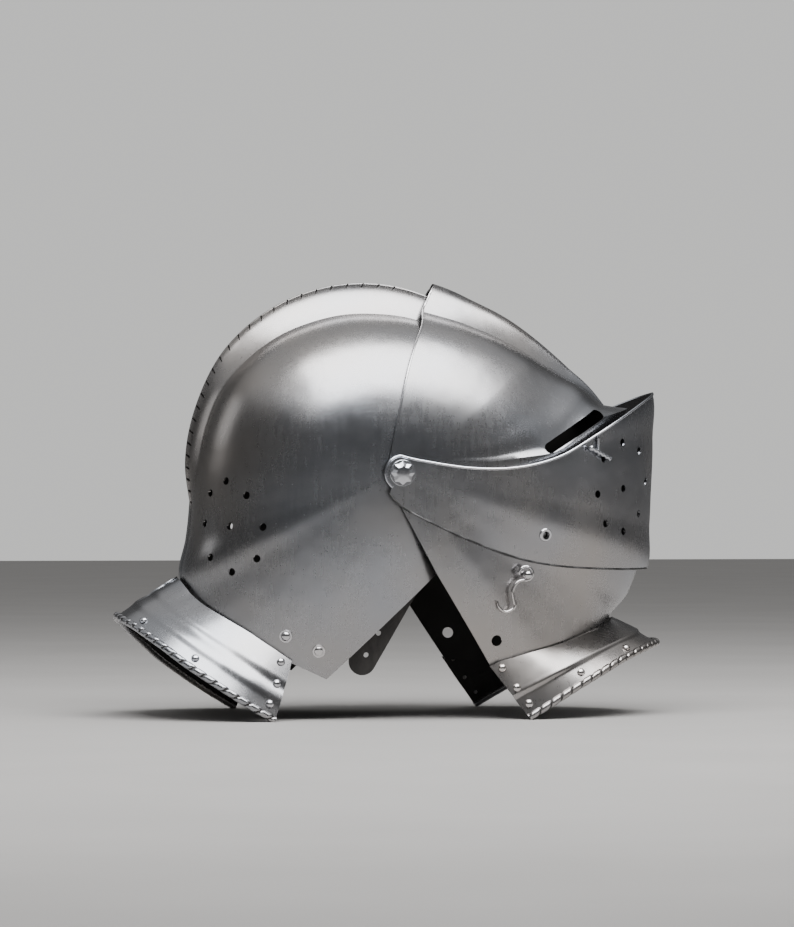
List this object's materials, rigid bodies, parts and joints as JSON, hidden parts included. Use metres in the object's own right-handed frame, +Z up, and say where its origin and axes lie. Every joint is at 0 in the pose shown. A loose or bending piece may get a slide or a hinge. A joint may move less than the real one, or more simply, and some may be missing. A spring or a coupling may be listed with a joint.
{
  "type": "close helmet",
  "caption": "Polished steel close helmet standing open on its gorget plates, with a notched comb, pivoting visor and bevors, breaths, roped rims and a hook.",
  "frame": {"origin": "on the ground, under the middle of the helmet's box", "axes": "+Z up, +X towards the front of the visor, +Y towards the wearer's left"},
  "size_m": [0.3982, 0.2184, 0.31],
  "materials": {
    "plate_steel": "brushed and polished, blackened inside",
    "bright_steel": "polished",
    "leather": "dark, waxed"
  },
  "bodies": {
    "skull": {"skull": "plate_steel", "rear_gorget": "plate_steel", "rear_gorget_rivet_right_1": "bright_steel", "rear_gorget_rivet_right_2": "bright_steel", "rear_gorget_rivet_right_3": "bright_steel", "rear_gorget_rivet_right_4": "bright_steel", "rear_gorget_rivet_right_5": "bright_steel", "rear_gorget_rivet_left_1": "bright_steel", "rear_gorget_rivet_left_2": "bright_steel", "rear_gorget_rivet_left_3": "bright_steel", "rear_gorget_rivet_left_4": "bright_steel", "rear_gorget_rivet_left_5": "bright_steel", "pivot_bolt_right": "bright_steel", "pivot_bolt_left": "bright_steel", "cheek_rivet_right": "bright_steel", "cheek_rivet_left": "bright_steel", "closing_stud_right": "bright_steel", "closing_stud_left": "bright_steel", "chin_strap_right": "leather", "chin_strap_left": "leather", "strap_rivet_right": "bright_steel", "strap_rivet_left": "bright_steel", "strap_buckle": "bright_steel"},
    "visor": {"visor": "plate_steel"},
    "lower_bevor": {"lower_bevor": "plate_steel", "front_gorget": "plate_steel", "hook_rivet": "bright_steel", "front_gorget_rivet_right_1": "bright_steel", "front_gorget_rivet_right_2": "bright_steel", "front_gorget_rivet_right_3": "bright_steel", "front_gorget_rivet_right_4": "bright_steel", "front_gorget_rivet_right_5": "bright_steel", "front_gorget_rivet_left_1": "bright_steel", "front_gorget_rivet_left_2": "bright_steel", "front_gorget_rivet_left_3": "bright_steel", "front_gorget_rivet_left_4": "bright_steel", "front_gorget_rivet_left_5": "bright_steel"},
    "upper_bevor": {"upper_bevor": "plate_steel", "eyelet": "bright_steel", "prop_peg": "bright_steel"},
    "hook": {"hook": "bright_steel"}
  },
  "joints": [
    {"name": "visor_turn", "type": "hinge", "parent": "skull", "child": "visor", "pos_m": [-0.00899, 0, 0.1727], "axis": [0, -1, 0], "range_deg": [-54.8, 12]},
    {"name": "lower_bevor_turn", "type": "hinge", "parent": "skull", "child": "lower_bevor", "pos_m": [-0.00899, 0, 0.1727], "axis": [0, -1, 0], "range_deg": [-54.8, 0]},
    {"name": "upper_bevor_turn", "type": "hinge", "parent": "lower_bevor", "child": "upper_bevor", "pos_m": [-0.00899, 0, 0.1727], "axis": [0, -1, 0], "range_deg": [0, 54]},
    {"name": "hook_turn", "type": "hinge", "parent": "lower_bevor", "child": "hook", "pos_m": [0.08181, -0.096, 0.1013], "axis": [0, -1, 0], "range_deg": [0, 180]}
  ]
}
